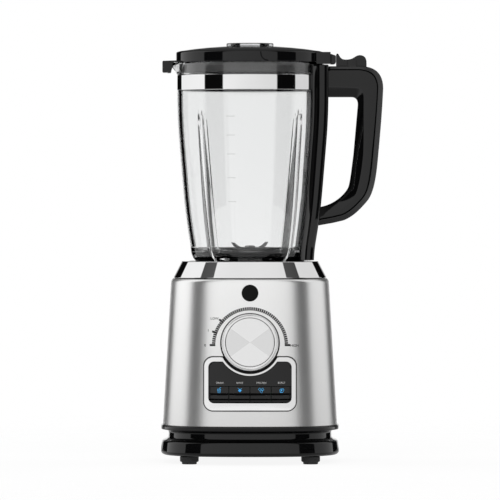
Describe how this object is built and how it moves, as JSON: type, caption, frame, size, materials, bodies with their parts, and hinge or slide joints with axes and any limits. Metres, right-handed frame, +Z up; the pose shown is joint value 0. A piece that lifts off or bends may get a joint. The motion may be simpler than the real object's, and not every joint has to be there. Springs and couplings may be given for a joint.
{
  "type": "countertop blender",
  "caption": "Countertop blender: satin metal motor base with a speed dial and programme buttons, glass jar with handle, blade unit, black lid and measuring cap.",
  "frame": {"origin": "middle of the bounding box, on the surface that the feet stand on; the drive axis is 22.40 mm to the -X side of it", "axes": "+Z up along the drive axis, -Y is the front with the dial and buttons, +X is the side of the jar's handle"},
  "size_m": [0.2256, 0.1934, 0.4248],
  "materials": {
    "satin": "vertically brushed satin metal",
    "polished": "polished bright metal",
    "spun_metal": "spun, fine circular grain",
    "gloss_black": "gloss",
    "matt_black": "fine matt",
    "rubber": "matt",
    "steel": "ground",
    "alloy": "as cast",
    "copper": "enamelled winding wire",
    "brass": "machined",
    "board": "circuit board with solder mask",
    "jar_glass": "clear, polished",
    "clear_cap": "smoky clear plastic"
  },
  "bodies": {
    "base": {"base_housing": "satin", "top_collar": "polished", "plinth": "gloss_black", "bottom_cover": "gloss_black", "front_left_foot": "rubber", "rear_left_foot": "rubber", "front_right_foot": "rubber", "rear_right_foot": "rubber", "front_left_cover_screw": "steel", "rear_left_cover_screw": "steel", "front_right_cover_screw": "steel", "rear_right_cover_screw": "steel", "cord_inlet": "rubber", "jar_seat": "matt_black", "lower_motor_bracket": "alloy", "upper_motor_bracket": "alloy", "front_motor_bolt": "steel", "rear_motor_bolt": "steel", "lower_bearing": "steel", "upper_bearing": "steel", "stator_core": "steel", "lower_field_winding": "copper", "upper_field_winding": "copper", "left_brush_holder": "brass", "right_brush_holder": "brass", "control_frame": "polished", "control_panel": "gloss_black", "control_board": "board", "speed_switch": "matt_black", "front_badge": "gloss_black"},
    "rotor": {"armature": "steel", "cooling_fan": "matt_black", "motor_shaft": "steel", "drive_coupling": "steel"},
    "knob": {"knob_spindle": "steel", "knob_body": "polished", "knob_cap": "spun_metal"},
    "smoothie_button_body": {"smoothie_button": "gloss_black"},
    "clean_button_body": {"clean_button": "gloss_black"},
    "ice_button_body": {"ice_button": "gloss_black"},
    "pulse_button_body": {"pulse_button": "gloss_black"},
    "jar": {"glass_jar": "jar_glass", "steel_band": "polished", "jar_foot": "matt_black", "handle_spine": "gloss_black", "handle_grip": "gloss_black", "grip_strip": "matt_black", "latch_pin": "steel", "blade_base": "gloss_black", "blade_bush": "brass"},
    "latch": {"lid_latch": "gloss_black"},
    "blades": {"lower_blade": "steel", "upper_blade": "steel", "blade_nut": "steel", "blade_shaft": "steel", "jar_coupling": "steel"},
    "lid": {"lid": "gloss_black", "lid_arm": "gloss_black", "lid_gasket": "rubber"},
    "cap": {"measuring_cap": "clear_cap"}
  },
  "joints": [
    {"name": "motor_spin", "type": "hinge", "parent": "base", "child": "rotor", "pos_m": [-0.0224, 0.00628, 0.12], "axis": [0, 0, 1], "continuous": true},
    {"name": "knob_turn", "type": "hinge", "parent": "base", "child": "knob", "pos_m": [-0.0224, -0.07731, 0.1225], "axis": [0, 0.9984, -0.0571], "range_deg": [0, 180]},
    {"name": "smoothie_press", "type": "slide", "parent": "base", "child": "smoothie_button_body", "axis": [0, 0.9984, -0.0571], "range_m": [0, 0.0015], "stiffness_N_per_m": 1000},
    {"name": "clean_press", "type": "slide", "parent": "base", "child": "clean_button_body", "axis": [0, 0.9984, -0.0571], "range_m": [0, 0.0015], "stiffness_N_per_m": 1000},
    {"name": "ice_press", "type": "slide", "parent": "base", "child": "ice_button_body", "axis": [0, 0.9984, -0.0571], "range_m": [0, 0.0015], "stiffness_N_per_m": 1000},
    {"name": "pulse_press", "type": "slide", "parent": "base", "child": "pulse_button_body", "axis": [0, 0.9984, -0.0571], "range_m": [0, 0.0015], "stiffness_N_per_m": 1000},
    {"name": "jar_lift", "type": "slide", "parent": "base", "child": "jar", "axis": [0, 0, 1], "range_m": [0, 0.12]},
    {"name": "blade_spin", "type": "hinge", "parent": "jar", "child": "blades", "pos_m": [-0.0224, 0.00628, 0.21], "axis": [0, 0, 1], "continuous": true},
    {"name": "lid_lift", "type": "slide", "parent": "jar", "child": "lid", "axis": [0, 0, 1], "range_m": [0, 0.1]},
    {"name": "cap_lift", "type": "slide", "parent": "lid", "child": "cap", "axis": [0, 0, 1], "range_m": [0, 0.06]},
    {"name": "latch_rock", "type": "hinge", "parent": "jar", "child": "latch", "pos_m": [0.0811, 0.00628, 0.4052], "axis": [0, 1, 0], "range_deg": [0, 8], "stiffness_Nm_per_rad": 0.6}
  ],
  "couplings": [
    {"joint": "blade_spin", "follows": "motor_spin", "ratio": 1}
  ]
}
